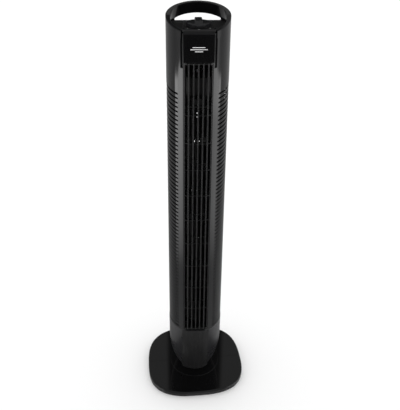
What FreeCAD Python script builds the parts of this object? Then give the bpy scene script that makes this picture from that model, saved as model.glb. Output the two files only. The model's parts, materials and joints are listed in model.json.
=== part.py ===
import FreeCAD, Part
import math
import os
import re

import Sketcher
from FreeCAD import Placement, Rotation, Vector

# Tower fan, millimetres. +Z is up, -Y is the front (air outlet), and the origin is on the
# swivel axis at the level of the floor. The stand is turned a few degrees under the tower.
SIZES = {
    # outer casing
    "tower_radius": 62.0,
    "wall": 2.4,
    "casing_bottom": 176.0,
    "casing_top": 946.0,
    "seam_angle": 38.65,
    "rib_depth": 3.2,
    # louvres of the rear casing
    "louvre_count": 64,
    "louvre_pitch": 10.16,
    "louvre_first": 182.4,
    "louvre_gap": 4.1,
    "louvre_slant": 0.9,
    "louvre_recess": 0.5,
    # front outlet
    "outlet_angle": 27.4,
    "outlet_bottom": 181.7,
    "outlet_top": 897.0,
    "bar_pitch": 9.45,
    "bar_width": 3.0,
    "bar_depth": 7.0,
    "divider_first": 251.0,
    "divider_pitch": 66.2,
    "divider_height": 1.3,
    # head: name plate, side channels, hoop, control deck
    "plate_bottom": 898.7,
    "plate_top": 957.6,
    "plate_half": 29.4,
    "front_flat": 58.0,
    "channel_inner": 28.6,
    "channel_outer": 32.8,
    "channel_bottom": 885.0,
    "channel_top": 957.0,
    "channel_round": 1.6,
    "hoop_top": 968.7,
    "hoop_hole": 53.0,
    "hoop_shift": 2.5,
    "hoop_forward": -6.0,
    "hoop_slope": 8.4,
    "hoop_angle": 33.1,
    "deck_tilt": 14.5,
    "deck_front_height": 965.0,
    "deck_back": 38.0,
    "deck_thickness": 3.0,
    "window_bottom": 913.0,
    "window_half_angle": 48.0,
    # speed knob
    "knob_y": -16.0,
    "knob_radius": 23.35,
    "knob_height": 8.0,
    "knob_lift": 0.5,
    "grip_front": 22.0,
    "grip_back": 18.0,
    "grip_width": 16.5,
    "grip_top_width": 12.8,
    "grip_height": 5.4,
    "mark_pitch": 4.3,
    "mark_height": 1.3,
    "mark_middle": 926.4,
    "knob_shaft": 3.0,
    # crossflow rotor and its motor
    "rotor_radius": 38.0,
    "rotor_bottom": 188.0,
    "segment_count": 9,
    "segment_pitch": 66.0,
    "disc_thickness": 1.6,
    "blade_count": 18,
    "blade_thickness": 1.0,
    "blade_depth": 10.0,
    "motor_radius": 34.0,
    "motor_bottom": 800.0,
    "motor_height": 52.0,
    "motor_shaft": 4.0,
    "axle_radius": 3.0,
    "running_gap": 0.05,
    "guide_radius": 46.0,
    "guide_wall": 1.6,
    "bracket_front": 50.7,
    # lower casing
    "foot_bottom": 16.0,
    "foot_radius": 36.0,
    "column_half": 31.5,
    "column_wall": 2.2,
    "column_side": 9.0,
    "column_rib": 0.7,
    "deck_plate_bottom": 171.0,
    # stand
    "stand_turn": 4.5,
    "base_width": 235.0,
    "base_depth": 220.5,
    "base_bottom": 1.0,
    "base_top": 14.0,
    "base_skin": 2.6,
    "base_round": 3.2,
    "base_taper": 0.05,
    "base_power": 2.8,
    "seam_gap": 0.5,
    "foot_across": 78.0,
    "foot_along": 74.0,
    "boss_radius": 9.5,
    "pad_radius": 7.5,
    "pad_seat": 0.5,
    "pad_round": 0.8,
    "clamp_spread": 26.0,
    "screw_radius": 1.7,
    "screw_head": 3.6,
    "screw_head_height": 2.2,
    "inlet_radius": 3.8,
    "inlet_flange": 4.6,
    "inlet_bore": 2.8,
    "inlet_height": 6.7,
    "disc_radius": 60.0,
    "disc_top": 15.2,
    "post_radius": 14.0,
    "post_bore": 9.0,
    "post_top": 78.0,
    "flange_radius": 46.0,
    "flange_height": 2.9,
    "arm_bottom": 70.0,
    "arm_thickness": 3.0,
    "drive_plate": 83.0,
    "drive_leg": 28.0,
    "crank_bottom": 78.0,
    "crank_reach": 32.0,
    "crank_throw": 8.0,
    "pin_radius": 3.0,
}

doc = FreeCAD.newDocument("TowerFan")
sheet = doc.addObject("Spreadsheet::Sheet", "Sizes")
for row, (alias, number) in enumerate(SIZES.items(), start=1):
    sheet.set(f"A{row}", alias)
    sheet.set(f"B{row}", str(number))
    sheet.setAlias(f"B{row}", alias)
working = doc.addObject("Spreadsheet::Sheet", "Working")
doc.recompute()

SUBPARTS = []


# ---------------------------------------------------------------- formulas and bindings

def formula(text):
    """Spell the sheet's aliases in a formula as references to its cells."""
    def cell(match):
        return f"Sizes.{match[0]}" if match[0] in SIZES else match[0]
    return re.sub(r"[a-z_]+", cell, str(text))


def value(text):
    """Work a formula out as a plain number."""
    working.set("A1", "=" + formula(text))
    working.recompute()
    return float(working.get("A1"))


def bind(thing, **formulas):
    """Drive properties from the sheet; '__' in a property's name stands for a dot."""
    for name, text in formulas.items():
        thing.setExpression(name.replace("__", "."), formula(text))
    return thing


def turn_with_stand(thing):
    """Turn a finished sub-part of the stand about the swivel axis."""
    thing.Placement = Placement(Vector(), Rotation(Vector(0, 0, 1), value("stand_turn")))
    return bind(thing, Placement__Rotation__Angle="stand_turn")


def subpart(thing, label, on_stand=False):
    """Name a finished sub-part and put it on the list that is written out."""
    thing.Label = label
    if on_stand:
        turn_with_stand(thing)
    SUBPARTS.append(thing)
    return thing


def fresh(kind, name):
    """Add an object of the document; a repeated name gets a number."""
    return doc.addObject(kind, name)


# ---------------------------------------------------------------- primitives and booleans

def cylinder(name, radius, height, z="0", x="0", y="0", sweep="360", start="0"):
    """Upright cylinder or pie slice; start and sweep are degrees from +X."""
    thing = fresh("Part::Cylinder", name)
    bind(thing, Radius=radius, Height=height, Angle=sweep)
    thing.Placement = Placement(Vector(), Rotation(Vector(0, 0, 1), value(start)))
    return bind(thing, Placement__Base__x=x, Placement__Base__y=y, Placement__Base__z=z,
                Placement__Rotation__Angle=start)


def block(name, length, width, height, x, y, z):
    """Box from its lowest corner."""
    thing = fresh("Part::Box", name)
    bind(thing, Length=length, Width=width, Height=height)
    return bind(thing, Placement__Base__x=x, Placement__Base__y=y, Placement__Base__z=z)


def cut(name, base, *tools):
    """Take the tools away from the base."""
    thing = fresh("Part::Cut", name)
    thing.Base = base
    thing.Tool = tools[0] if len(tools) == 1 else fuse(name + "Tools", *tools)
    return thing


def fuse(name, *shapes):
    """Join shapes into one."""
    thing = fresh("Part::MultiFuse", name)
    thing.Shapes = list(shapes)
    thing.Refine = True
    return thing


def common(name, *shapes):
    """Keep what all the shapes share."""
    thing = fresh("Part::MultiCommon", name)
    thing.Shapes = list(shapes)
    return thing


def ring(name, outer, inner, z, height, x="0", y="0"):
    """Plain ring or bush."""
    body = cylinder(name + "Outer", outer, height, z, x, y)
    hole = cylinder(name + "Hole", inner, f"{height} + 2", f"{z} - 1", x, y)
    return cut(name, body, hole)


def sector(name, outer, inner, z, height, first, last):
    """Piece of a ring between two angles, in degrees from the front towards +X."""
    wedge = cylinder(name + "Outer", outer, height, z, sweep=f"{last} - ({first})",
                     start=f"{first} - 90")
    hole = cylinder(name + "Hole", inner, f"{height} + 2", f"{z} - 1")
    return cut(name, wedge, hole)


def from_shape(label, shape, on_stand=False):
    """Sub-part whose shape is made with Part's own functions."""
    thing = fresh("Part::Feature", label.title().replace("_", ""))
    thing.Shape = shape
    return subpart(thing, label, on_stand)


# ---------------------------------------------------------------- sketches and bodies

def origin_plane(body, role):
    """One of the body's own origin planes or axes."""
    return next(item for item in body.Origin.OriginFeatures if item.Role == role)


def pin_corner(sketch, index, axis, text):
    """Hold one corner of a sketch at a distance from the origin along one axis."""
    number = value(text)
    if abs(number) < 1e-9:
        line = -2 if axis == "X" else -1
        sketch.addConstraint(Sketcher.Constraint("PointOnObject", index, 1, line))
        return
    held = Sketcher.Constraint("Distance" + axis, -1, 1, index, 1, number)
    place = sketch.addConstraint(held)
    sketch.setExpression(f"Constraints[{place}]", formula(text))


def outline(body, name, role, corners, turn=0.0):
    """Closed polygon on an origin plane, each corner held by two formulas."""
    sketch = body.newObject("Sketcher::SketchObject", name)
    sketch.AttachmentSupport = (origin_plane(body, role), [""])
    sketch.MapMode = "FlatFace"
    sketch.AttachmentOffset = Placement(Vector(), Rotation(Vector(0, 1, 0), turn))
    points = [Vector(value(across), value(up), 0) for across, up in corners]
    for start, end in zip(points, points[1:] + points[:1]):
        sketch.addGeometry(Part.LineSegment(start, end))
    for index, (across, up) in enumerate(corners):
        after = (index + 1) % len(corners)
        sketch.addConstraint(Sketcher.Constraint("Coincident", index, 2, after, 1))
        pin_corner(sketch, index, "X", across)
        pin_corner(sketch, index, "Y", up)
    return sketch


def revolve(body, name, sketch, angle="360", kind="Revolution"):
    """Turn a profile about the vertical axis, evenly to both sides of its plane."""
    feature = body.newObject("PartDesign::" + kind, name)
    feature.Profile = sketch
    feature.ReferenceAxis = (sketch, ["V_Axis"])
    feature.Midplane = True
    bind(feature, Angle=angle)
    return feature


def pad(body, name, sketch, length, both_ways=False):
    """Extrude a profile."""
    feature = body.newObject("PartDesign::Pad", name)
    feature.Profile = sketch
    feature.Midplane = both_ways
    bind(feature, Length=length)
    return feature


def turned_body(label, corners, on_stand=False):
    """Sub-part that a lathe would make: a closed profile of (radius, height) corners."""
    body = fresh("PartDesign::Body", label.title().replace("_", ""))
    profile = outline(body, body.Name + "Profile", "XZ_Plane", corners)
    revolve(body, body.Name + "Turn", profile)
    return subpart(body, label, on_stand)


def rounded(name, base, radius, wanted):
    """Fillet the edges of a finished shape that pass a test."""
    doc.recompute()
    thing = fresh("Part::Fillet", name)
    thing.Base = base
    size = value(radius)
    thing.Edges = [(number, size, size)
                   for number, edge in enumerate(base.Shape.Edges, start=1) if wanted(edge)]
    return thing


def at_height(height):
    """Test for edges that lie flat at one height."""
    def test(edge):
        box = edge.BoundBox
        return abs(box.ZMin - height) < 1e-4 and abs(box.ZMax - height) < 1e-4
    return test


# ---------------------------------------------------------------- stand

def base_outline(inset):
    """Rounded square of the base, a little wider at the front, as one smooth curve."""
    half_width = value("base_width") / 2 - inset
    half_depth = value("base_depth") / 2 - inset
    power = 2 / value("base_power")
    points = []
    for step in range(48):
        angle = 2 * math.pi * step / 48
        across = math.copysign(abs(math.cos(angle)) ** power, math.cos(angle))
        along = math.copysign(abs(math.sin(angle)) ** power, math.sin(angle))
        spread = 1 - value("base_taper") * along
        points.append(Vector(half_width * across * spread, half_depth * along, 0))
    widest = max(abs(point.x) for point in points)
    points = [Vector(point.x * half_width / widest, point.y, 0) for point in points]
    curve = Part.BSplineCurve()
    curve.interpolate(points, PeriodicFlag=True)
    return Part.Face(Part.Wire([curve.toShape()]))


FOOT_PLACES = [(x * value("foot_across"), y * value("foot_along"))
               for x in (-1, 0, 1) for y in (-1, 1)]
CLAMP_SCREWS = [(x * value("clamp_spread"), y * value("clamp_spread"))
                for x in (-1, 1) for y in (-1, 1)]
WELL_ABOVE = 20.0      # taller than anything it drills


def base_shell():
    """Hollow plate of the base with bosses for the feet, open underneath."""
    bottom, top, skin = value("base_bottom"), value("base_top"), value("base_skin")
    plate = base_outline(0).extrude(Vector(0, 0, top - bottom))
    plate.translate(Vector(0, 0, bottom))
    flat_top = at_height(top)
    plate = plate.makeFillet(value("base_round"), [e for e in plate.Edges if flat_top(e)])
    hollow = base_outline(skin + 0.8).extrude(Vector(0, 0, top - bottom - skin))
    hollow.translate(Vector(0, 0, bottom))
    shell = plate.cut(hollow)
    seat = value("pad_seat")
    bosses = [Part.makeCylinder(value("boss_radius"), top - bottom - 2 * seat,
                                Vector(x, y, bottom + seat)) for x, y in FOOT_PLACES]
    shell = shell.fuse(bosses)
    holes = [Part.makeCylinder(value("post_radius") + 0.3, WELL_ABOVE)]
    holes += [Part.makeCylinder(value("screw_radius"), WELL_ABOVE, Vector(x, y, 0))
              for x, y in CLAMP_SCREWS]
    return shell.cut(holes)


def inlet_cylinder(radius, length):
    """Cylinder along the cord inlet, from inside the base's rear edge outwards."""
    start = Vector(0, value("base_depth / 2 - 7"), value("inlet_height"))
    return Part.makeCylinder(value(radius), length, start, Vector(0, 1, 0))


def make_base_halves():
    """The base in two halves that meet on a straight seam through the axis."""
    shell = base_shell()
    gap = value("seam_gap") / 2
    wide, deep = value("base_width"), value("base_depth")
    front = shell.common(Part.makeBox(2 * wide, deep, WELL_ABOVE, Vector(-wide, -deep - gap, 0)))
    rear = shell.common(Part.makeBox(2 * wide, deep, WELL_ABOVE, Vector(-wide, gap, 0)))
    inlet = inlet_cylinder("inlet_radius", WELL_ABOVE)
    from_shape("base_front_half", front, True)
    from_shape("base_rear_half", rear.cut(inlet), True)


def make_rubber_feet():
    """Six pads under the foot bosses; they carry the fan."""
    pads = []
    for x, y in FOOT_PLACES:
        pad_shape = Part.makeCylinder(value("pad_radius"), value("base_bottom + pad_seat"),
                                      Vector(x, y, 0))
        lower_edges = [edge for edge in pad_shape.Edges if at_height(0)(edge)]
        pads.append(pad_shape.makeFillet(value("pad_round"), lower_edges))
    from_shape("rubber_feet", Part.makeCompound(pads), True)


def make_post():
    """Fixed hollow post that the tower turns on, with its flange under the base's skin."""
    flange_top = "base_top - base_skin"
    flange_bottom = "base_top - base_skin - flange_height"
    body = fresh("PartDesign::Body", "SwivelPost")
    profile = outline(body, "PostProfile", "XZ_Plane", [
        ("post_bore", flange_bottom), ("flange_radius", flange_bottom),
        ("flange_radius", flange_top), ("post_radius", flange_top),
        ("post_radius", "post_top"), ("post_bore", "post_top"),
    ])
    revolve(body, "PostTurn", profile)
    drills = [cylinder("PostDrill", "screw_radius", "base_top", "0", str(x), str(y))
              for x, y in CLAMP_SCREWS]
    subpart(cut("SwivelPostDrilled", body, *drills), "swivel_post", True)


def make_clamp_screws():
    """Four screws that tie both halves to the post's flange."""
    head_top = value("base_top - base_skin - flange_height")
    head_bottom = head_top - value("screw_head_height")
    slot_long, slot_wide, shank_long = 5.0, 0.9, 5.0
    screws = []
    for x, y in CLAMP_SCREWS:
        head = Part.makeCylinder(value("screw_head"), value("screw_head_height"),
                                 Vector(x, y, head_bottom))
        slot = Part.makeBox(slot_long, slot_wide, 1.0,
                            Vector(x - slot_long / 2, y - slot_wide / 2, head_bottom))
        shank = Part.makeCylinder(value("screw_radius"), shank_long, Vector(x, y, head_top))
        screws.append(head.cut(slot).fuse(shank))
    from_shape("clamp_screws", Part.makeCompound(screws), True)


def make_swivel_disc():
    """Round cover on top of the base, around the foot of the tower."""
    plain = ring("SwivelDisc", "disc_radius", "post_radius + 0.3", "base_top",
                 "disc_top - base_top")
    rim = rounded("SwivelDiscRounded", plain, "0.5", lambda edge: at_height(
        value("disc_top"))(edge) and edge.Length > 300)
    subpart(rim, "swivel_disc", True)


def make_stand_bearings():
    """Thrust washer under the tower and the collar that keeps the tower on its post."""
    subpart(ring("ThrustWasher", "30", "20", "disc_top", "1.0"), "thrust_washer", True)
    subpart(ring("PostCollar", "19", "post_radius", "34.4", "4"), "post_collar", True)


def make_slotted_arm():
    """Fixed arm that the crank's pin works in; its slot runs along the arm."""
    hub = cylinder("ArmHub", "18", "arm_thickness", "arm_bottom")
    arm = block("ArmBar", "17", "46", "arm_thickness", "-8.5", "0", "arm_bottom")
    bore = cylinder("ArmBore", "post_radius", "arm_thickness + 2", "arm_bottom - 1")
    slot = block("ArmSlot", "2 * pin_radius + 0.6", "22", "arm_thickness + 2",
                 "-pin_radius - 0.3", "21", "arm_bottom - 1")
    subpart(cut("SlottedArm", fuse("ArmSolid", hub, arm), bore, slot), "slotted_arm", True)


def make_cord_inlet():
    """Rubber bush in the rear edge of the base; the mains lead would pass through it."""
    sleeve = inlet_cylinder("inlet_radius", 6.5)
    flange = inlet_cylinder("inlet_flange", 2.0)
    bore = inlet_cylinder("inlet_bore", WELL_ABOVE)
    from_shape("cord_inlet", sleeve.fuse(flange).cut(bore), True)


# ---------------------------------------------------------------- lower casing

# Lower casing at nine heights: height, half width, and reach of its front.
KEEL_SECTIONS = (
    (16.0, 36.0, 33.5), (23.0, 41.0, 34.5), (35.0, 47.0, 36.0), (55.0, 53.5, 38.6),
    (80.0, 58.6, 42.4), (118.0, 61.8, 49.6), (133.0, 61.9, 52.8), (155.0, 62.0, 57.5),
    (176.0, 62.0, 62.0),
)
# Column at its foot and at its top: height, reach of the corners, reach of the middle.
COLUMN_FOOT = (16.0, 24.0, 36.5)
COLUMN_HEAD = (176.0, 53.4, 58.0)


def keel_solid(inset):
    """Lower casing as a solid: round behind, oval in front, narrowing to the foot."""
    wires = []
    for height, half_width, reach in KEEL_SECTIONS:
        centre, wide = Vector(0, 0, height), half_width - inset
        front = Part.Ellipse(centre, wide, reach - inset)
        back = Part.Circle(centre, Vector(0, 0, 1), wide)
        wires.append(Part.Wire([Part.ArcOfCircle(back, 0, math.pi).toShape(),
                                Part.ArcOfEllipse(front, math.pi, 2 * math.pi).toShape()]))
    return Part.makeLoft(wires, True, False)


def column_section(height, corner, middle, half, depth):
    """Outline of the column at one height: straight sides and a bowed front."""
    points = [Vector(half, depth - corner, height), Vector(half, -corner, height),
              Vector(-half, -corner, height), Vector(-half, depth - corner, height)]
    return Part.Wire([
        Part.LineSegment(points[0], points[1]).toShape(),
        Part.Arc(points[1], Vector(0, -middle, height), points[2]).toShape(),
        Part.LineSegment(points[2], points[3]).toShape(),
        Part.LineSegment(points[3], points[0]).toShape(),
    ])


def column_solid(inset, half, depth):
    """Leaning column between the foot and the casing, moved back by an inset."""
    wires = [column_section(height, corner - inset, middle - inset, half, depth)
             for height, corner, middle in (COLUMN_FOOT, COLUMN_HEAD)]
    return Part.makeLoft(wires, True, True)


def make_lower_casing():
    """Hollow lower casing, open in front where the column stands."""
    low, tall = value("foot_bottom"), value("casing_bottom - foot_bottom")
    half, reach = value("column_half + running_gap"), value("tower_radius") + 1
    shell = keel_solid(0).cut(keel_solid(value("wall")))
    gap = Part.makeBox(2 * half, reach, tall + 2, Vector(-half, -reach, low - 1))
    from_shape("lower_casing", shell.cut(gap))


def make_lower_column():
    """Satin column below the outlet, with a rib in line with every bar of the grille."""
    half, wall, side = value("column_half"), value("column_wall"), value("column_side")
    low, tall = value("foot_bottom"), value("casing_bottom - foot_bottom")
    room = column_solid(wall, half - wall, side + wall)
    proud = column_solid(-value("column_rib"), half, wall)
    rib_half, reach = value("bar_width") / 2, value("tower_radius")
    ribs = []
    for place in range(-2, 3):
        across = value("bar_pitch") * place
        slab = Part.makeBox(2 * rib_half, reach, tall, Vector(across - rib_half, -reach, low))
        ribs.append(proud.common(slab))
    shell = column_solid(0, half, side).fuse(ribs).cut(room)
    from_shape("lower_column", shell.removeSplitter())


def make_foot_plate():
    """Plate in the foot that holds the swivel bush."""
    subpart(ring("FootPlate", "foot_radius - wall - 1.2", "17", "foot_bottom + 0.5", "3"),
            "foot_plate")
    turned_body("swivel_bush", [
        ("post_radius + running_gap", "foot_bottom + 0.5"), ("17", "foot_bottom + 0.5"),
        ("17", "foot_bottom + 3.5"), ("21", "foot_bottom + 3.5"),
        ("21", "foot_bottom + 5.5"), ("17", "foot_bottom + 5.5"),
        ("17", "34"), ("post_radius + running_gap", "34"),
    ])


def make_oscillation_drive():
    """Geared motor on a plate with three legs, and the crank on its shaft."""
    plate_height, leg_z = "2.5", "foot_bottom + 3.5"
    plate = cylinder("DrivePlate", "40", plate_height, "drive_plate")
    legs = [cylinder("DriveLeg", "3", f"drive_plate - ({leg_z})", leg_z, x, y)
            for x, y in (("drive_leg", "0"), ("-drive_leg", "0"), ("0", "-drive_leg"))]
    hole = cylinder("DriveHole", "pin_radius + 0.5", "6", "drive_plate - 2", y="crank_reach")
    subpart(cut("DrivePlateDrilled", fuse("DrivePlateOnLegs", plate, *legs), hole),
            "oscillation_bracket")
    can = cylinder("DriveCan", "22", "18", "drive_plate + 3.5", y="crank_reach")
    ears = block("DriveEars", "58", "9", "1.0", "-29", "crank_reach - 4.5", "drive_plate + 2.5")
    bore = cylinder("DriveBore", "pin_radius + running_gap", "9", "drive_plate + 1",
                    y="crank_reach")
    subpart(cut("DriveMotor", fuse("DriveMotorSolid", can, ears), bore), "oscillation_motor")
    disc = cylinder("CrankDisc", "12.5", "4", "crank_bottom", y="crank_reach")
    shaft = cylinder("CrankShaft", "pin_radius", "14", "crank_bottom", y="crank_reach")
    pin = cylinder("CrankPin", "pin_radius", "5", "crank_bottom - 4.4",
                   y="crank_reach + crank_throw")
    subpart(fuse("Crank", disc, shaft, pin), "oscillation_crank")


# ---------------------------------------------------------------- casings

def make_rear_casing():
    """C-shaped casing round the back: louvre slots outside, upright ribs inside."""
    body = fresh("PartDesign::Body", "RearCasing")
    inner, outer = "tower_radius - wall", "tower_radius"
    span = "360 - 2 * seam_angle"
    shell = outline(body, "RearProfile", "YZ_Plane", [
        (inner, "casing_bottom"), (outer, "casing_bottom"),
        (outer, "casing_top"), (inner, "casing_top")])
    revolve(body, "RearTurn", shell, span)
    rib_inner = "tower_radius - wall - rib_depth"
    rib = outline(body, "RibProfile", "YZ_Plane", [
        (rib_inner, "casing_bottom"), ("tower_radius - wall + 0.3", "casing_bottom"),
        ("tower_radius - wall + 0.3", "louvre_first + louvre_count * louvre_pitch"),
        (rib_inner, "louvre_first + louvre_count * louvre_pitch")], turn=-138)
    first_rib = revolve(body, "RibTurn", rib, "2.2")
    ribs = body.newObject("PartDesign::PolarPattern", "Ribs")
    ribs.Originals = [first_rib]
    ribs.Axis = (origin_plane(body, "Z_Axis"), [""])
    ribs.Angle = 276
    ribs.Occurrences = 9
    body.Tip = ribs
    field_top = "louvre_first + (louvre_count - 1) * louvre_pitch + louvre_gap + 1.5"
    field = outline(body, "FieldProfile", "YZ_Plane", [
        ("tower_radius - louvre_recess", "louvre_first - 1.5"),
        ("tower_radius + 1", "louvre_first - 1.5"), ("tower_radius + 1", field_top),
        ("tower_radius - louvre_recess", field_top)])
    body.Tip = revolve(body, "FieldTurn", field, f"{span} - 2.0", kind="Groove")
    slot_inner, slot_outer = "tower_radius - wall - 0.3", "tower_radius + 1"
    slot = outline(body, "SlotProfile", "YZ_Plane", [
        (slot_inner, "louvre_first + louvre_slant"), (slot_outer, "louvre_first"),
        (slot_outer, "louvre_first + louvre_gap"),
        (slot_inner, "louvre_first + louvre_gap + louvre_slant")])
    first_slot = revolve(body, "SlotTurn", slot, f"{span} - 2.0", kind="Groove")
    slots = body.newObject("PartDesign::LinearPattern", "Slots")
    slots.Originals = [first_slot]
    slots.Direction = (origin_plane(body, "Z_Axis"), [""])
    bind(slots, Length="(louvre_count - 1) * louvre_pitch", Occurrences="louvre_count")
    body.Tip = slots
    height = "casing_top - window_bottom + 2"
    window = cylinder("WindowTool", "tower_radius + 5", height, "window_bottom",
                      sweep="2 * window_half_angle", start="90 - window_half_angle")
    subpart(cut("RearCasingOpen", body, window), "rear_casing")


def ahead_of(reach):
    """Everything in front of an upright plane at one reach from the axis."""
    return block("AheadOf", "2 * tower_radius", "30", "1200", "-tower_radius",
                 f"-({reach}) - 30", "-10")


def make_front_casing():
    """Front frame: a smooth strip each side of the outlet, joined above and below."""
    tall = "casing_top - casing_bottom"
    inner, outer = "tower_radius - wall", "tower_radius"
    edge = "seam_angle - 0.15"
    strips = [sector("StripLeft", outer, inner, "casing_bottom", tall,
                     f"-({edge})", "-outlet_angle"),
              sector("StripRight", outer, inner, "casing_bottom", tall, "outlet_angle", edge)]
    lower_lip = sector("LowerLip", outer, "tower_radius - 7", "casing_bottom",
                       "outlet_bottom - casing_bottom", f"-({edge})", edge)
    flat_lip = cut("LowerLipFlat", lower_lip, ahead_of("front_flat"))
    curved = sector("PlateBacking", "tower_radius - wall", "tower_radius - 5.5",
                    "plate_bottom - 1", "channel_top - plate_bottom + 1",
                    "-channel_outer", "channel_outer")
    backing = cut("PlateBackingFlat", curved, ahead_of("front_flat - wall"))
    seat = block("PlateSeat", "46", "3", "channel_top - plate_bottom + 1", "-23",
                 "wall - front_flat", "plate_bottom - 1")
    channel_floors = [sector("ChannelFloor", "tower_radius - wall", "tower_radius - 5.5",
                             "channel_bottom - 4", "plate_bottom - channel_bottom + 4",
                             first, last)
                      for first, last in (("-channel_outer", "-outlet_angle"),
                                          ("outlet_angle", "channel_outer"))]
    bridges = [sector("ChannelWall", "tower_radius - 1", "tower_radius - 5.5",
                      "channel_bottom - 4", "casing_top - channel_bottom + 4", first, last)
               for first, last in (("-seam_angle + 1", "-channel_outer"),
                                   ("channel_outer", "seam_angle - 1"))]
    channels = [sector("Channel", "tower_radius + 1", "tower_radius - 3", "channel_bottom",
                       "90", first, last)
                for first, last in (("-channel_outer", "-channel_inner"),
                                    ("channel_inner", "channel_outer"))]
    frame = fuse("FrontFrame", *strips, flat_lip, backing, seat, *channel_floors, *bridges)
    casing = cut("FrontCasing", frame, *channels)
    reach, radius = value("tower_radius * sin(channel_outer)"), value("tower_radius")

    def beside_channel(edge):
        box, start = edge.BoundBox, edge.Vertexes[0]
        upright = box.XLength < 1e-3 and box.YLength < 1e-3
        outside = math.hypot(start.X, start.Y) > radius - 0.1
        return upright and outside and abs(abs(start.X) - reach) < 0.02

    subpart(rounded("FrontCasingRounded", casing, "channel_round", beside_channel),
            "front_casing")


def make_front_grille():
    """Flat outlet grille: five upright bars with rounded noses, thin cross pieces, a frame."""
    inside = "outlet_angle - 0.35"
    low, tall = "outlet_bottom + 0.3", "outlet_top - outlet_bottom - 0.6"
    nose = "bar_width / 2 - front_flat"
    bars = []
    for place in range(-2, 3):
        middle = f"{place} * bar_pitch"
        bars.append(cylinder("BarNose", "bar_width / 2", tall, low, middle, nose))
        bars.append(block("BarWeb", "bar_width", "bar_depth - bar_width / 2", tall,
                          f"{middle} - bar_width / 2", nose, low))
    cross = [sector("Divider", "tower_radius - 1.8", "tower_radius - 9",
                    f"divider_first + {level} * divider_pitch", "divider_height",
                    f"-({inside})", inside) for level in range(9)]
    for rail_low in (low, "outlet_top - 3.5"):
        cross.append(sector("GrilleRail", "tower_radius - 0.6", "tower_radius - 9", rail_low,
                            "3.2", f"-({inside})", inside))
    for first, last in (("-outlet_angle + 0.3", "-outlet_angle + 1.9"),
                        ("outlet_angle - 1.9", "outlet_angle - 0.3")):
        cross.append(sector("GrilleSide", "tower_radius - 1.0", "tower_radius - 7", low, tall,
                            first, last))
    frame = cut("GrilleFrame", fuse("GrilleCross", *cross), ahead_of("front_flat - 1"))
    subpart(fuse("FrontGrille", frame, *bars), "front_grille")


def make_front_plate():
    """Glossy flat plate above the outlet and the plain bars set in it as a generic mark."""
    face, depth = "-front_flat - 0.2", "wall - 0.1"
    plate = block("FrontPlate", "2 * plate_half", depth, "plate_top - plate_bottom",
                  "-plate_half", face, "plate_bottom")
    front = value("front_flat") + 0.1
    soft = rounded("FrontPlateRounded", plate, "0.7", lambda edge: all(
        -v.Y > front for v in edge.Vertexes))
    bars = [block("MarkBar", str(2 * reach), "0.8", "mark_height", str(-reach), f"{face} - 0.2",
                  f"mark_middle + {place} * mark_pitch - mark_height / 2")
            for place, reach in ((-1, 7.5), (0, 16.0), (1, 11.8))]
    grooves = fuse("MarkGrooves", *bars)
    subpart(cut("FrontPlateWithSeats", soft, grooves), "front_plate")
    subpart(fuse("PlateMark", *bars), "plate_mark")


def hoop_room(name, radius, height, z):
    """Room inside the hoop: round at the sides, drawn out towards the front."""
    ends = [cylinder(name + "End", radius, height, z, y=y) for y in ("hoop_shift", "hoop_forward")]
    middle = block(name + "Middle", f"2 * ({radius})", "hoop_shift - hoop_forward", height,
                   f"-({radius})", "hoop_forward", z)
    return fuse(name, *ends, middle)


def make_top_hoop():
    """Carrying hoop on top of the casings, open at the front and sloping down to it."""
    full = cylinder("HoopOuter", "tower_radius", "hoop_top - casing_top", "casing_top",
                    sweep="360 - 2 * hoop_angle", start="hoop_angle - 90")
    hole = hoop_room("HoopHole", "hoop_hole", "60", "casing_top - 20")
    reach = "3 * tower_radius"
    slope = block("HoopSlope", f"2 * {reach}", f"2 * {reach}", "60", "0", "0", "hoop_top")
    slope.Placement = Placement(Vector(), Rotation(Vector(1, 0, 0), value("hoop_slope")))
    bind(slope, Placement__Base__x=f"-{reach}", Placement__Base__y=f"-{reach} * cos(hoop_slope)",
         Placement__Base__z=f"hoop_top - {reach} * sin(hoop_slope)")
    plain = cut("HoopPlain", full, hole, slope)
    middle = value("(hoop_top + casing_top) / 2")
    top = rounded("HoopRounded", plain, "0.8", lambda edge: (
        edge.BoundBox.ZMin > middle and not isinstance(edge.Curve, Part.Line)))
    subpart(top, "top_hoop")


# ---------------------------------------------------------------- control deck

DECK_FRONT = "1 - front_flat"


def deck_level(y, below="0"):
    """Height of the tilted deck's top face at one distance from the axis."""
    return f"deck_front_height - ({y} + tower_radius) * tan(deck_tilt) - ({below})"


def on_deck(thing, lift="0", x="0", y="knob_y"):
    """Stand a piece on the tilted deck, its own Z along the deck's normal."""
    thing.setExpression("Placement.Rotation.Angle", None)
    thing.Placement = Placement(Vector(), Rotation(Vector(1, 0, 0), -value("deck_tilt")))
    return bind(thing, Placement__Base__x=x,
                Placement__Base__y=f"{y} + ({lift}) * sin(deck_tilt)",
                Placement__Base__z=f"{deck_level(y)} + ({lift}) * cos(deck_tilt)")


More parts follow.
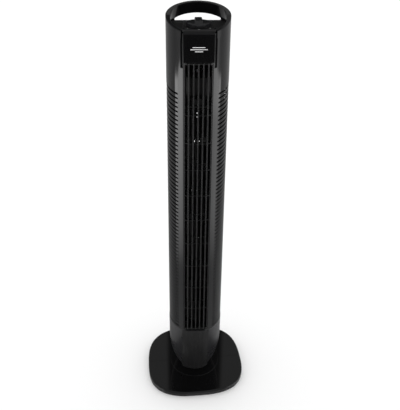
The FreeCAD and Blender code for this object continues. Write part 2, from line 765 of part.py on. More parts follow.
def make_control_deck():
    """Tilted deck that ends in a sloped apron under the hand hold."""
    body = fresh("PartDesign::Body", "DeckSlab")
    apron_y, apron_z = "tower_radius - wall - 0.4", "window_bottom - 0.5"
    profile = outline(body, "DeckProfile", "YZ_Plane", [
        (DECK_FRONT, deck_level(DECK_FRONT, "deck_thickness")),
        (DECK_FRONT, deck_level(DECK_FRONT)),
        ("deck_back", deck_level("deck_back")),
        (apron_y, apron_z),
        (apron_y, f"{apron_z} - 4"),
        ("deck_back - 2", deck_level("deck_back - 2", "deck_thickness")),
    ])
    pad(body, "DeckPad", profile, "2 * tower_radius", both_ways=True)
    well = hoop_room("DeckWell", "hoop_hole - 0.2", "200", "850")
    under_hoop = cylinder("DeckUnderHoop", "tower_radius - wall - 0.4", "casing_top - 850.2", "850")
    tongue = sector("DeckTongue", "tower_radius - 2.95", "20", "850", "200",
                    "-outlet_angle - 4", "outlet_angle + 4")
    reach = fuse("DeckReach", well, under_hoop, tongue)
    slab = common("DeckTrimmed", body, reach)
    hole = on_deck(cylinder("ShaftHole", "5", "20"), "-10")
    backing = sector("BackingRoom", "tower_radius + 2", "tower_radius - 5.7", "880",
                     "channel_top + 0.2 - 880", "-40", "40")
    ridges = [block("DeckRidge", "4.5", "62", "1.4", "0", "0", "0") for side in (-1, 1)]
    soft_ridges = [on_deck(rounded("DeckRidgeSoft", ridge, "1.1", lambda edge: at_height(1.4)(
        edge) and edge.Length > 20), "-0.2", x, "knob_y - 24")
        for ridge, x in zip(ridges, ("27.5", "-32"))]
    lip = block("DeckLip", "2 * plate_half", "6", f"{deck_level('-front_flat')} - channel_top - 0.8",
                "-plate_half", "-front_flat - 0.2", "channel_top + 0.8")
    lip_top, front = value(deck_level("-front_flat")), value("front_flat")
    soft_lip = rounded("DeckLipSoft", lip, "1.6", lambda edge: at_height(lip_top)(edge) and all(
        -v.Y > front for v in edge.Vertexes))
    plain = cut("DeckOpen", fuse("DeckWithRidges", slab, *soft_ridges), hole, backing)
    deck = fuse("DeckWithLip", plain, soft_lip)
    subpart(deck, "control_deck")


def make_deck_marks():
    """Three small pale position marks on the deck in front of the knob."""
    pips = [on_deck(cylinder("DeckPip", "1.1", "0.35"), "0", x, y)
            for x, y in (("0", "knob_y - 29"), ("-21", "knob_y - 19.5"), ("21", "knob_y - 19.5"))]
    subpart(fuse("DeckPips", *pips), "position_marks")
    doc.recompute()


def make_speed_knob():
    """Round knob with a grip bar across it and the shaft under it."""
    disc = cylinder("KnobDisc", "knob_radius", "knob_height")
    grip = fresh("Part::Wedge", "KnobGrip")
    bind(grip, Xmin="-grip_width / 2", Xmax="grip_width / 2",
         Ymin="0", Ymax="grip_height + 1",
         Zmin="-grip_back", Zmax="grip_front",
         X2min="-grip_top_width / 2", X2max="grip_top_width / 2",
         Z2min="1.5 - grip_back", Z2max="grip_front - 1.5")
    grip.Placement = Placement(Vector(), Rotation(Vector(1, 0, 0), 90))
    bind(grip, Placement__Base__z="knob_height - 1")
    top = rounded("KnobDiscSoft", disc, "1.4", at_height(value("knob_height")))
    soft_grip = rounded("KnobGripSoft", grip, "1.2", lambda edge: edge.BoundBox.ZMax > value(
        "knob_height + grip_height - 0.1"))
    shaft = cylinder("KnobShaft", "knob_shaft", "17", "-16")
    groove = block("KnobGroove", "1.4", "grip_front - 8", "1", "-0.7", "3 - grip_front",
                   "knob_height + grip_height - 0.5")
    knob = cut("SpeedKnob", fuse("KnobSolid", top, soft_grip, shaft), groove)
    subpart(on_deck(knob, "knob_lift"), "speed_knob")


def make_rotary_switch():
    """Four-way switch under the deck with a neck through it."""
    case = block("SwitchCase", "26", "26", "14", "-13", "-13", "-17.2")
    neck = cylinder("SwitchNeck", "4.8", "3.6", "-3.4")
    bore = cylinder("SwitchBore", "knob_shaft + running_gap", "30", "-20")
    switch = cut("RotarySwitch", fuse("SwitchSolid", case, neck), bore)
    subpart(on_deck(switch), "rotary_switch")


# ---------------------------------------------------------------- rotor and motor

def blade_face(angle, height):
    """Thin curved section of one blade near the rim of the rotor."""
    rim, deep = value("rotor_radius"), value("blade_depth")
    thick = value("blade_thickness")
    rings = ((rim - 0.4, 0.0), (rim - deep / 2, 9.0), (rim - deep, 12.0))
    skin = math.degrees(thick / rim)
    inner = [Vector(r * math.cos(math.radians(angle + a)), r * math.sin(math.radians(angle + a)),
                    height) for r, a in rings]
    outer = [Vector(r * math.cos(math.radians(angle + a + skin)),
                    r * math.sin(math.radians(angle + a + skin)), height) for r, a in rings]
    return Part.Face(Part.Wire([
        Part.Arc(*inner).toShape(),
        Part.LineSegment(inner[2], outer[2]).toShape(),
        Part.Arc(*outer).toShape(),
        Part.LineSegment(outer[0], inner[0]).toShape(),
    ]))


def make_rotor():
    """Crossflow rotor: segments of curved blades between discs, each segment staggered."""
    bottom, pitch, thick = value("rotor_bottom"), value("segment_pitch"), value("disc_thickness")
    count, blades = int(value("segment_count")), int(value("blade_count"))
    pieces = []
    for level in range(count + 1):
        base = Vector(0, 0, bottom + level * pitch)
        pieces.append(Part.makeCylinder(value("rotor_radius"), thick, base))
    for level in range(count):
        low = bottom + level * pitch + thick / 2
        for place in range(blades):
            angle = 360 / blades * (place + level * 0.31)
            pieces.append(blade_face(angle, low).extrude(Vector(0, 0, pitch)))
    rotor = pieces[0].multiFuse(pieces[1:])
    stub_hole = Part.makeCylinder(value("axle_radius"), 1.0, Vector(0, 0, bottom))
    hub_z = bottom + count * pitch + thick - 1.0
    hub_hole = Part.makeCylinder(value("motor_shaft"), 1.0, Vector(0, 0, hub_z))
    from_shape("crossflow_rotor", rotor.cut([stub_hole, hub_hole]))


ROTOR_TOP = "rotor_bottom + segment_count * segment_pitch + disc_thickness"


def make_rotor_shafts():
    """Lower pin of the rotor and the motor's shaft above it."""
    subpart(cylinder("RotorPin", "axle_radius", "rotor_bottom + 1 - 174", "174"), "rotor_pin")
    shaft_top = "motor_bottom + motor_height + 3"
    subpart(cylinder("MotorShaft", "motor_shaft", f"{shaft_top} - ({ROTOR_TOP}) + 1",
                     f"{ROTOR_TOP} - 1"), "motor_shaft")


def make_lower_bearing():
    """Deck plate across the casing with the rotor's lower bearing in a rubber boot."""
    boot_top = "casing_bottom + 3"
    subpart(ring("DeckPlate", "tower_radius - wall - 7.2", "13", "deck_plate_bottom", "3.5"),
            "bearing_plate")
    turned_body("bearing_boot", [
        ("8", "deck_plate_bottom"), ("13", "deck_plate_bottom"),
        ("13", "deck_plate_bottom + 3.5"), ("16", "deck_plate_bottom + 3.5"),
        ("16", boot_top), ("8", boot_top)])
    turned_body("lower_bearing", [
        ("axle_radius + running_gap", "deck_plate_bottom"), ("8", "deck_plate_bottom"),
        ("8", boot_top), ("axle_radius + running_gap", boot_top)])


def make_motor():
    """Shaded-pole style motor: can in two cups, stator ring, bearings and rotor core."""
    top = "motor_bottom + motor_height"
    middle = "motor_bottom + motor_height / 2"
    skin, hub = "1.6", "motor_shaft + running_gap + 7"
    turned_body("motor_lower_cup", [
        (hub, "motor_bottom"), ("motor_radius", "motor_bottom"), ("motor_radius", middle),
        (f"motor_radius - {skin}", middle), (f"motor_radius - {skin}", f"motor_bottom + {skin}"),
        (hub, f"motor_bottom + {skin}")])
    turned_body("motor_upper_cup", [
        (f"motor_radius - {skin}", middle), ("motor_radius", middle), ("motor_radius", top),
        (hub, top), (hub, f"{top} - {skin}"), (f"motor_radius - {skin}", f"{top} - {skin}")])
    subpart(ring("StatorCore", f"motor_radius - {skin}", "20", "motor_bottom + 8",
                 "motor_height - 16"), "motor_stator")
    subpart(ring("RotorCore", "19.4", "motor_shaft", "motor_bottom + 9", "motor_height - 18"),
            "motor_rotor_core")
    bearings = [ring("MotorBearing", hub, "motor_shaft + running_gap", low, "5")
                for low in ("motor_bottom", f"{top} - 5")]
    pair = fresh("Part::Compound", "MotorBearings")
    pair.Links = bearings
    subpart(pair, "motor_bearings")


def make_motor_bracket():
    """Plate under the motor that spans the casing, with four standing posts."""
    plate = ring("BracketPlate", "tower_radius - wall - rib_depth - 2", "12",
                 "motor_bottom - 4", "3")
    pads = [ring("BracketPad", "7", "2.2", "motor_bottom - 1", "1", x, y)
            for x, y in (("22", "0"), ("-22", "0"), ("0", "22"), ("0", "-22"))]
    bracket = cut("MotorBracket", fuse("BracketOnPads", plate, *pads), ahead_of("bracket_front"))
    subpart(bracket, "motor_bracket")


def make_capacitor():
    """Run capacitor and terminal block standing on the motor's bracket."""
    subpart(rounded("CapacitorSoft", cylinder("Capacitor", "8", "34", "motor_bottom - 1", "0", "45"),
                    "1.2", at_height(value("motor_bottom + 33"))), "run_capacitor")
    body = block("Terminals", "26", "10", "14", "-13", "-46.5", "motor_bottom - 1")
    notches = [block("TerminalNotch", "4", "6", "6", str(x), "-44.5", "motor_bottom + 8")
               for x in (-11, -5, 1, 7)]
    subpart(cut("TerminalBlock", body, *notches), "terminal_block")


def make_air_guides():
    """Two upright guides round the rotor; a web joins each to the casing and parts the air."""
    low, tall = "rotor_bottom - 2", "segment_count * segment_pitch + 4"
    inner, casing = "guide_radius - guide_wall", "tower_radius - wall - 0.4"
    for label, first, last, web, lip_x in (
            ("air_guide_left", "-118", "-36", "-92.8", "-28.3"),
            ("air_guide_right", "36", "93", "91.2", "26.7")):
        name = label.title().replace("_", "")
        curve = sector(name, "guide_radius", inner, low, tall, first, last)
        wall = sector(name + "Web", casing, inner, low, tall, web, f"{web} + 1.6")
        lip = block("GuideLip", "guide_wall", "12", tall, lip_x, "-46.5", low)
        subpart(fuse(name + "Solid", curve, wall, lip), label)


# ---------------------------------------------------------------- screws

def radial_screw(angle, height):
    """Screw through the casing wall; angle in degrees from the back."""
    reach = value("tower_radius")
    head = Part.makeCylinder(3.2, 2.6, Vector(0, reach - 2.3, height), Vector(0, 1, 0))
    cross = Part.makeBox(3.6, 1.0, 0.8, Vector(-1.8, reach - 0.5, height - 0.4))
    shank = Part.makeCylinder(1.5, 6.5, Vector(0, reach - 8.8, height), Vector(0, 1, 0))
    screw = head.cut(cross).fuse(shank)
    screw.rotate(Vector(), Vector(0, 0, 1), angle)
    return screw


SCREW_PLACES = [(angle, height) for height in (872.0, 160.0) for angle in (-62.0, 62.0)]


def drill_for_screws(label):
    """Open the screw holes in a casing that is on the list already."""
    doc.recompute()
    place = next(i for i, item in enumerate(SUBPARTS) if item.Label == label)
    casing = SUBPARTS[place]
    casing.Label = casing.Name
    drills = []
    for angle, height in SCREW_PLACES:
        tool = cylinder("ScrewDrill", "3.2", "8")
        along = Rotation(Vector(0, 0, 1), angle).multiply(Rotation(Vector(1, 0, 0), -90))
        out = Rotation(Vector(0, 0, 1), angle).multVec(Vector(0, value("tower_radius - 6"), height))
        for path in ("x", "y", "z"):
            tool.setExpression("Placement.Base." + path, None)
        tool.setExpression("Placement.Rotation.Angle", None)
        tool.Placement = Placement(out, along)
        drills.append(tool)
    SUBPARTS[place] = cut(casing.Name + "Drilled", casing, *drills)
    SUBPARTS[place].Label = label


def make_casing_screws():
    """Four screws in the smooth parts of the casing."""
    screws = [radial_screw(angle, height) for angle, height in SCREW_PLACES]
    from_shape("casing_screws", Part.makeCompound(screws))
    drill_for_screws("rear_casing")
    drill_for_screws("lower_casing")


# ---------------------------------------------------------------- build, check, write

def check_document():
    """Stop if any object failed or any sub-part's shape is missing or bad."""
    doc.recompute()
    for item in doc.Objects:
        if "Invalid" in item.State or "Error" in item.State:
            raise RuntimeError(f"{item.Name} failed: {item.State}")
    for item in SUBPARTS:
        if item.Shape.isNull() or not item.Shape.isValid() or not item.Shape.Solids:
            raise RuntimeError(f"{item.Label} has no valid solid")


def write_subparts():
    """Write each sub-part to its own file."""
    os.makedirs("parts", exist_ok=True)
    for item in SUBPARTS:
        item.Shape.exportStep(f"parts/{item.Label}.step")
        print(f"{item.Label:22s} solids {len(item.Shape.Solids):2d} "
              f"volume {item.Shape.Volume / 1000:8.2f} cm3")


make_base_halves()
make_rubber_feet()
make_post()
make_clamp_screws()
make_swivel_disc()
make_stand_bearings()
make_slotted_arm()
make_cord_inlet()
make_lower_casing()
make_lower_column()
make_foot_plate()
make_oscillation_drive()
make_rear_casing()
make_front_casing()
make_front_grille()
make_front_plate()
make_top_hoop()
make_control_deck()
make_deck_marks()
make_speed_knob()
make_rotary_switch()
make_rotor()
make_rotor_shafts()
make_lower_bearing()
make_motor()
make_motor_bracket()
make_capacitor()
make_air_guides()
make_casing_screws()
check_document()
write_subparts()
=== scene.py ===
import json
import math

import bmesh
import bpy
from mathutils import Matrix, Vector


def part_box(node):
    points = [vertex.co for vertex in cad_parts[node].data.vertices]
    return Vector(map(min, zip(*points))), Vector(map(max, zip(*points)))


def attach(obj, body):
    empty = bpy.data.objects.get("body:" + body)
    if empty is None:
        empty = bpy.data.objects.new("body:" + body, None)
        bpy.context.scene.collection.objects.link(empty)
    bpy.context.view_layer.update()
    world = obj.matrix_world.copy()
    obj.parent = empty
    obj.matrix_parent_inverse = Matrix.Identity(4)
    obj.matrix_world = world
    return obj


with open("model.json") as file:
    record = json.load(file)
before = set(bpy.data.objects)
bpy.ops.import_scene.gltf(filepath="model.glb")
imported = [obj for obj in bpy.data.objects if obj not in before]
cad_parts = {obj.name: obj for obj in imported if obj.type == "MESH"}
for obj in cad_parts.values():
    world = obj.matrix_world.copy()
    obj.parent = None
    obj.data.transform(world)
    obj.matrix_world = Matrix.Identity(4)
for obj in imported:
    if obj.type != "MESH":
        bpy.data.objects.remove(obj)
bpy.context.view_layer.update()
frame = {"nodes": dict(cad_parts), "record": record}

NODES = frame["nodes"]
BASE_COLOURS = {m["slot"]: m["base_color"][:3] for m in frame["record"]["materials"]}
SLOT_OF = {s["node"]: s["material_slot"] for s in frame["record"]["subparts"]}

# Camera: in front of the tower, a little to its left, looking down on it. Metres and
# degrees; lens and sensor in millimetres.
CAMERA_PLACE = (-0.0512, -1.4858, 1.6907)
CAMERA_DOWN = 38.36
CAMERA_TURN = -2.3
CAMERA_ROLL = 0.87
CAMERA_LENS = 75.67
CAMERA_SENSOR = 36.0
CAMERA_REACH = 50.0

# Soft light for everything that isn't a mirror reflection.
SKY_LEVEL = 0.75       # from everywhere above
SKY_RIM = 2.4          # more towards the horizon and below it
SKY_TILT = 0.5         # more from behind than from in front

# The studio that shiny faces mirror: brightness of each part of it.
FLOOR_LEVEL = {"left": 0.37, "right": 0.45}     # floor and low walls
ROOM_HIGH = 0.34                                # high walls and ceiling
BACK_LOW = 0.05                                 # behind, near the horizon
CLOTH_DARK = 0.06                               # dark cloth low in front
FLAG_DARK = 0.05                                # narrow dark flag behind the fan
SMALL_LIGHT = 6.0                               # a small light on each side, above the panels
PANEL_LEVEL = {"left": 3.7, "right": 2.6}       # light panels lying on each side
PANEL_FAR = {"left": 0.55, "right": 1.05}       # beyond the panels, up to the horizon
PANEL_NEAR = {"left": 0.45, "right": 0.43}      # between the panels and the fan

# Where those parts are, in degrees. Azimuth is counted from the front to both sides alike and
# elevation from the horizon. Each pair is one soft edge: where it starts and where it ends.
LOW_EDGE = (-8.0, 12.0)                         # between the low and the high walls, elevation
BEHIND = {"azimuth": ((115.0, 135.0), None), "elevation": ((-25.0, -14.0), (16.0, 26.0))}
CLOTH = {"azimuth": (None, (36.0, 52.0)), "elevation": ((-51.0, -47.0), (-24.0, -18.0))}
SMALL = {"azimuth": ((46.0, 50.0), (60.0, 66.0)), "elevation": ((-26.2, -25.4), (-18.0, -14.0))}
BESIDE = ((52.0, 60.0), (90.0, 95.0))           # azimuth of the panels and of what is round them
FAR_EDGE = (74.0, 92.0)                         # azimuth where the part beyond them ends
NEAR_EDGE = (-42.0, -38.0)                      # elevation where the part before them ends
FLAG_SIDES = ((-0.9, -0.3), (4.3, 4.9))         # counted from the back towards the right
FLAG_FOOT = (30.0, 33.0)
PANEL_LOW_EDGE = (-42.8, -41.2)                 # elevation of the panels
PANEL_HIGH_EDGE = (-28.7, -28.1)
PANEL_CORNER = (52.0, 82.0)                     # the high edge bends down over this azimuth
PANEL_CORNER_DROP = 1.4
PANEL_FADE = (0.078, 3.42)                      # slope and offset of the fade towards its foot
RIGHT_PANEL_DIM = (-33.0, -31.2, 0.62)          # soft edge, and the level below it
SIDE_BLEND = 0.02                               # how softly the left passes to the right

FLOOR_REACH = 6.0
FLOOR_COLOUR = (0.93, 0.93, 0.93, 1)

# Noises: waves per metre and detail. Heights in metres.
TONE_NOISE = (9.0, 3.0)
GLOSS_NOISE = (22.0, 3.0)
GRAIN_NOISE = (2600.0, 1.0)
LINE_NOISE = (60.0, 4.0)
PEEL_DETAIL = 2.0
PEEL_HEIGHT = 0.0004
GRAIN_HEIGHT = 0.0001
NOISE_MIDDLE = (0.3, 0.7)      # the part of a noise's range that is spread out

# How far roughness and tone drift, as multiples of their own value.
PLASTIC_GLOSS = (0.85, 1.2)
METAL_GLOSS = (0.7, 1.3)
METAL_TONE = (0.8, 1.15)

# Plastics by name. The shade multiplies the record's colour of the slot, which has the plastic's
# own name unless another is given. The rest are the arguments of plastic().
PLASTICS = {
    "casing_gloss": {"shade": 0.5, "rough": 0.05, "peel_scale": 90, "peel": 0.015},
    "casing_satin": {"slot": "casing_gloss", "shade": 2.0, "rough": 0.3, "peel_scale": 120,
                     "peel": 0.01},
    "base_gloss": {"shade": 0.5, "rough": 0.02, "peel_scale": 60, "peel": 0.004},
    "plate_gloss": {"shade": 0.5, "rough": 0.03, "peel_scale": 60, "peel": 0.006},
    "knob_gloss": {"shade": 1.8, "rough": 0.1, "peel_scale": 160, "peel": 0.03, "grain": 0.03},
    "grille_satin": {"shade": 0.85, "rough": 0.3, "peel_scale": 120, "peel": 0.01},
    "column_satin": {"slot": "grille_satin", "shade": 1.3, "rough": 0.5, "peel_scale": 120,
                     "peel": 0.02, "grain": 0.05},
    "deck_satin": {"shade": 0.8, "rough": 0.34, "peel_scale": 200, "peel": 0.05,
                   "specular": 0.25, "grain": 0.1},
    "inner_plastic": {"shade": 0.5, "rough": 0.4, "peel_scale": 300, "peel": 0.1, "grain": 0.2},
    "bearing_plastic": {"shade": 1.0, "rough": 0.35, "peel_scale": 150, "peel": 0.05,
                        "spread": 0.06},
    "pale_mark": {"shade": 1.0, "rough": 0.3, "peel_scale": 400, "peel": 0.05, "spread": 0.05},
    "rubber": {"shade": 0.5, "rough": 0.6, "peel_scale": 500, "peel": 0.2, "grain": 0.4},
}
METALS = {
    "steel": {"rough": 0.28, "stretch": 14.0},
    "laminations": {"rough": 0.45, "stretch": 60.0},
}
OWN_FINISH = {"lower_casing": "casing_satin", "lower_column": "column_satin"}

# Dark matt strips along the floor of the channels beside the name plate, painted shade of the
# channels: degrees from the front, and metres.
SHADE_STRIP_ANGLES = (28.9, 32.5)
SHADE_STRIP_DEPTH = (0.0029, 0.0019)   # of the strip's foot and crown below the casing's surface
SHADE_STRIP_BELOW_PLATE = 0.013
SHADE_STRIP_BELOW_TOP = 0.0006
SHADE_STRIP_STEPS = 8


# ---------------------------------------------------------------- camera and studio

def make_camera():
    """Long lens above head height, tilted down and rolled a little."""
    data = bpy.data.cameras.new("camera")
    data.lens = CAMERA_LENS
    data.sensor_width = CAMERA_SENSOR
    data.clip_end = CAMERA_REACH
    camera = bpy.data.objects.new("camera", data)
    turn = Matrix.Rotation(math.radians(CAMERA_TURN), 4, "Z")
    tilt = Matrix.Rotation(math.radians(90 - CAMERA_DOWN), 4, "X")
    roll = Matrix.Rotation(math.radians(CAMERA_ROLL), 4, "Z")
    camera.matrix_world = Matrix.Translation(CAMERA_PLACE) @ turn @ tilt @ roll
    bpy.context.scene.collection.objects.link(camera)
    bpy.context.scene.camera = camera


class Graph:
    """Small helper that adds and joins shader nodes."""

    def __init__(self, tree):
        self.tree = tree
        self.tree.nodes.clear()

    def add(self, kind, **settings):
        node = self.tree.nodes.new(kind)
        for name, value in settings.items():
            setattr(node, name, value)
        return node

    def join(self, source, target):
        self.tree.links.new(source, target)

    def feed(self, socket, value):
        """Set a socket to a plain number or join another socket to it."""
        if isinstance(value, (int, float)):
            socket.default_value = value
        else:
            self.join(value, socket)

    def math(self, operation, *values, clamp=False):
        node = self.add("ShaderNodeMath", operation=operation, use_clamp=clamp)
        for socket, value in zip(node.inputs, values):
            self.feed(socket, value)
        return node.outputs[0]

    def product(self, *factors):
        """All the factors multiplied together."""
        total = factors[0]
        for factor in factors[1:]:
            total = self.math("MULTIPLY", total, factor)
        return total

    def degrees(self, angle):
        """Degrees from an angle in radians."""
        return self.math("MULTIPLY", angle, math.degrees(1.0))

    def ramp(self, value, low, high, to_low=0.0, to_high=1.0):
        """Smooth step of a value from one range to another."""
        node = self.add("ShaderNodeMapRange", interpolation_type="SMOOTHSTEP")
        self.join(value, node.inputs["Value"])
        for name, number in (("From Min", low), ("From Max", high),
                             ("To Min", to_low), ("To Max", to_high)):
            node.inputs[name].default_value = number
        return node.outputs["Result"]

    def fall(self, value, edge):
        """1 before a soft edge and 0 after it."""
        return self.ramp(value, *edge, 1.0, 0.0)

    def between(self, value, rising, falling):
        """1 between two soft edges; an edge that is None is left open."""
        steps = [self.ramp(value, *rising)] if rising else []
        steps += [self.fall(value, falling)] if falling else []
        return self.product(*steps)

    def mix(self, factor, low, high):
        """Plain mix of two numbers or sockets."""
        node = self.add("ShaderNodeMix", data_type="FLOAT")
        for socket, value in zip((node.inputs[0], node.inputs[2], node.inputs[3]),
                                 (factor, low, high)):
            self.feed(socket, value)
        return node.outputs[0]


def light_panel(graph, azimuth, elevation, on_right):
    """Brightness share of the light panels: a rounded high edge and a fading foot."""
    slope, offset = PANEL_FADE
    fade = graph.math("MULTIPLY_ADD", elevation, slope, offset, clamp=True)
    corner = graph.math("POWER", graph.ramp(azimuth, *PANEL_CORNER), 2.0)
    edge = graph.math("MULTIPLY_ADD", corner, PANEL_CORNER_DROP, elevation)
    low, high, dimmed = RIGHT_PANEL_DIM
    dim = graph.mix(on_right, 1.0, graph.ramp(elevation, low, high, dimmed, 1.0))
    return graph.product(graph.ramp(elevation, *PANEL_LOW_EDGE),
                         graph.fall(edge, PANEL_HIGH_EDGE), fade, dim)


def mirrored_studio(graph, across, along, up):
    """Brightness of the studio that shiny faces mirror, in one direction."""
    to_front = graph.math("MULTIPLY", along, -1.0)
    side = graph.math("ABSOLUTE", across)
    azimuth = graph.degrees(graph.math("ARCTAN2", side, to_front))
    elevation = graph.degrees(graph.math("ARCSINE", up))
    from_back = graph.degrees(graph.math("ARCTAN2", across, along))
    on_right = graph.ramp(across, -SIDE_BLEND, SIDE_BLEND)

    def level(pair):
        return graph.mix(on_right, pair["left"], pair["right"])

    def patch(place):
        return graph.product(graph.between(azimuth, *place["azimuth"]),
                             graph.between(elevation, *place["elevation"]))

    low = graph.fall(elevation, LOW_EDGE)
    beside = graph.between(azimuth, *BESIDE)
    flag = graph.product(graph.between(from_back, *FLAG_SIDES), graph.ramp(elevation, *FLAG_FOOT))
    far = graph.product(beside, low, graph.fall(azimuth, FAR_EDGE))
    near = graph.product(beside, graph.fall(elevation, NEAR_EDGE))
    panel = graph.product(beside, light_panel(graph, azimuth, elevation, on_right))
    room = graph.mix(low, ROOM_HIGH, level(FLOOR_LEVEL))
    for share, brightness in ((patch(BEHIND), BACK_LOW), (patch(CLOTH), CLOTH_DARK),
                              (flag, FLAG_DARK), (patch(SMALL), SMALL_LIGHT),
                              (far, level(PANEL_FAR)), (near, level(PANEL_NEAR)),
                              (panel, level(PANEL_LEVEL))):
        room = graph.mix(share, room, brightness)
    return room


def make_world():
    """Soft sky for the diffuse light; the shiny faces mirror a darker studio with two panels."""
    world = bpy.data.worlds.new("studio")
    world.use_nodes = True
    bpy.context.scene.world = world
    graph = Graph(world.node_tree)
    place = graph.add("ShaderNodeTexCoord")
    split = graph.add("ShaderNodeSeparateXYZ")
    graph.join(place.outputs["Generated"], split.inputs[0])
    across, along, up = split.outputs
    rim = graph.math("POWER", graph.math("SUBTRACT", 1.0, up, clamp=True), 2.0)
    sky = graph.math("MULTIPLY_ADD", along, SKY_TILT, SKY_LEVEL)
    sky = graph.math("MULTIPLY_ADD", rim, SKY_RIM, sky)
    ray = graph.add("ShaderNodeLightPath")
    total = graph.mix(ray.outputs["Is Glossy Ray"], sky, mirrored_studio(graph, across, along, up))
    back = graph.add("ShaderNodeBackground")
    back.inputs["Color"].default_value = (1, 1, 1, 1)
    graph.join(total, back.inputs["Strength"])
    output = graph.add("ShaderNodeOutputWorld")
    graph.join(back.outputs[0], output.inputs["Surface"])


def make_floor():
    """Plain pale floor; glossy faces mirror the studio instead of it."""
    mesh = bpy.data.meshes.new("floor")
    reach = FLOOR_REACH
    corners = [(-reach, -reach, 0), (reach, -reach, 0), (reach, reach, 0), (-reach, reach, 0)]
    mesh.from_pydata(corners, [], [(0, 1, 2, 3)])
    floor = bpy.data.objects.new("floor", mesh)
    bpy.context.scene.collection.objects.link(floor)
    material = bpy.data.materials.new("floor_paint")
    material.use_nodes = True
    shader = material.node_tree.nodes["Principled BSDF"]
    shader.inputs["Base Color"].default_value = FLOOR_COLOUR
    shader.inputs["Roughness"].default_value = 1.0
    shader.inputs["Specular IOR Level"].default_value = 0.0
    mesh.materials.append(material)
    floor.visible_glossy = False


# ---------------------------------------------------------------- materials

def start_material(name):
    """New material with an empty graph that holds a joined shader and the object's coordinates."""
    material = bpy.data.materials.new(name)
    material.use_nodes = True
    graph = Graph(material.node_tree)
    shader = graph.add("ShaderNodeBsdfPrincipled")
    output = graph.add("ShaderNodeOutputMaterial")
    graph.join(shader.outputs[0], output.inputs["Surface"])
    place = graph.add("ShaderNodeTexCoord").outputs["Object"]
    return material, graph, shader, place


def noise(graph, place, scale, detail):
    node = graph.add("ShaderNodeTexNoise")
    node.inputs["Scale"].default_value = scale
    node.inputs["Detail"].default_value = detail
    graph.join(place, node.inputs["Vector"])
    return node.outputs["Fac"]


def tone(graph, shader, pattern, colour, dark, light):
    """Base colour that drifts between a darker and a lighter multiple of one colour."""
    mix = graph.add("ShaderNodeMix", data_type="RGBA")
    graph.join(pattern, mix.inputs[0])
    mix.inputs[6].default_value = (*[c * dark for c in colour], 1)
    mix.inputs[7].default_value = (*[c * light for c in colour], 1)
    graph.join(mix.outputs[2], shader.inputs["Base Color"])


def bump(graph, pattern, strength, height, under=None):
    node = graph.add("ShaderNodeBump")
    node.inputs["Strength"].default_value = strength
    node.inputs["Distance"].default_value = height
    graph.join(pattern, node.inputs["Height"])
    if under:
        graph.join(under, node.inputs["Normal"])
    return node.outputs[0]


def plastic(name, colour, rough, peel_scale, peel, specular=0.5, spread=0.25, grain=0.0):
    """Moulded plastic: a faint drift of tone and gloss, ripple of the mould and fine grain."""
    material, graph, shader, place = start_material(name)
    tone(graph, shader, noise(graph, place, *TONE_NOISE), colour, 1 - spread, 1 + spread)
    smooth, dull = (rough * share for share in PLASTIC_GLOSS)
    gloss = graph.ramp(noise(graph, place, *GLOSS_NOISE), *NOISE_MIDDLE, smooth, dull)
    graph.join(gloss, shader.inputs["Roughness"])
    normal = bump(graph, noise(graph, place, peel_scale, PEEL_DETAIL), peel, PEEL_HEIGHT)
    if grain:
        normal = bump(graph, noise(graph, place, *GRAIN_NOISE), grain, GRAIN_HEIGHT, normal)
    graph.join(normal, shader.inputs["Normal"])
    shader.inputs["IOR"].default_value = 1.5
    shader.inputs["Specular IOR Level"].default_value = specular
    return material


def metal(name, colour, rough, stretch):
    """Plated or cut steel: fine lines round the part, and an uneven shine."""
    material, graph, shader, place = start_material(name)
    mapping = graph.add("ShaderNodeMapping")
    mapping.inputs["Scale"].default_value = (1.0, 1.0, stretch)
    graph.join(place, mapping.inputs["Vector"])
    lines = noise(graph, mapping.outputs[0], *LINE_NOISE)
    tone(graph, shader, lines, colour, *METAL_TONE)
    smooth, dull = (rough * share for share in METAL_GLOSS)
    shine = graph.ramp(lines, *NOISE_MIDDLE, smooth, dull)
    graph.join(shine, shader.inputs["Roughness"])
    shader.inputs["Metallic"].default_value = 1.0
    return material


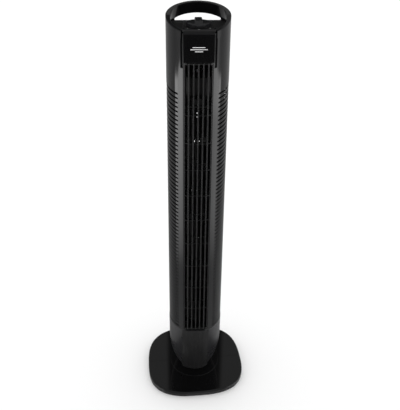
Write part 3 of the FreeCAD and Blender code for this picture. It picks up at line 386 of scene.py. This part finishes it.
def make_materials():
    """One material for each slot of the record, and two duller ones near the foot."""
    materials = {}
    for name, recipe in PLASTICS.items():
        settings = dict(recipe)
        shade = settings.pop("shade")
        colour = [shade * part for part in BASE_COLOURS[settings.pop("slot", name)]]
        materials[name] = plastic(name, colour, **settings)
    for name, recipe in METALS.items():
        materials[name] = metal(name, BASE_COLOURS[name], **recipe)
    return materials


def dress_nodes(materials):
    """Give each carried-over CAD node its own finish, or else the material of its slot."""
    for name, node in NODES.items():
        node.data.materials.clear()
        node.data.materials.append(materials[OWN_FINISH.get(name, SLOT_OF[name])])


# ---------------------------------------------------------------- added pieces

def shade_strip_outline(side, radius):
    """Cross-section of a dark strip that paints the channel's shade: flat foot on the channel's
    floor and a crowned face.
    """
    first, last = SHADE_STRIP_ANGLES
    foot, crown = (radius - depth for depth in SHADE_STRIP_DEPTH)
    points = []
    for step in range(SHADE_STRIP_STEPS + 1):
        share = step / SHADE_STRIP_STEPS
        angle = math.radians(first + (last - first) * share)
        reach = foot + (crown - foot) * math.sin(math.pi * share) ** 0.5
        points.append((side * reach * math.sin(angle), -reach * math.cos(angle)))
    return points


def shade_strip_mesh(name, section, bottom, top):
    """Upright bar with one cross-section from end to end."""
    mesh = bmesh.new()
    rings = [[mesh.verts.new((x, y, z)) for x, y in section] for z in (bottom, top)]
    count = len(section)
    for place in range(count):
        after = (place + 1) % count
        mesh.faces.new((rings[0][place], rings[0][after], rings[1][after], rings[1][place]))
    for ring in rings:
        mesh.faces.new(ring)
    bmesh.ops.recalc_face_normals(mesh, faces=mesh.faces)
    data = bpy.data.meshes.new(name)
    mesh.to_mesh(data)
    mesh.free()
    return data


def make_channel_shade_strips(material):
    """Dark matt strip in the rubber material along the floor of each channel beside the name
    plate: painted shade of the channel.
    """
    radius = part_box("top_hoop")[1].x
    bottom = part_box("front_plate")[0].z - SHADE_STRIP_BELOW_PLATE
    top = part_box("front_casing")[1].z - SHADE_STRIP_BELOW_TOP
    for name, side in (("channel_shade_strip_left", -1), ("channel_shade_strip_right", 1)):
        data = shade_strip_mesh(name, shade_strip_outline(side, radius), bottom, top)
        data.materials.append(material)
        shade_strip = bpy.data.objects.new(name, data)
        bpy.context.scene.collection.objects.link(shade_strip)
        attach(shade_strip, "tower")


make_camera()
make_world()
make_floor()
bpy.context.scene.view_settings.view_transform = "Standard"
MATERIALS = make_materials()
dress_nodes(MATERIALS)
# Dark strips in the channels beside the name plate: painted shade.
make_channel_shade_strips(MATERIALS["rubber"])
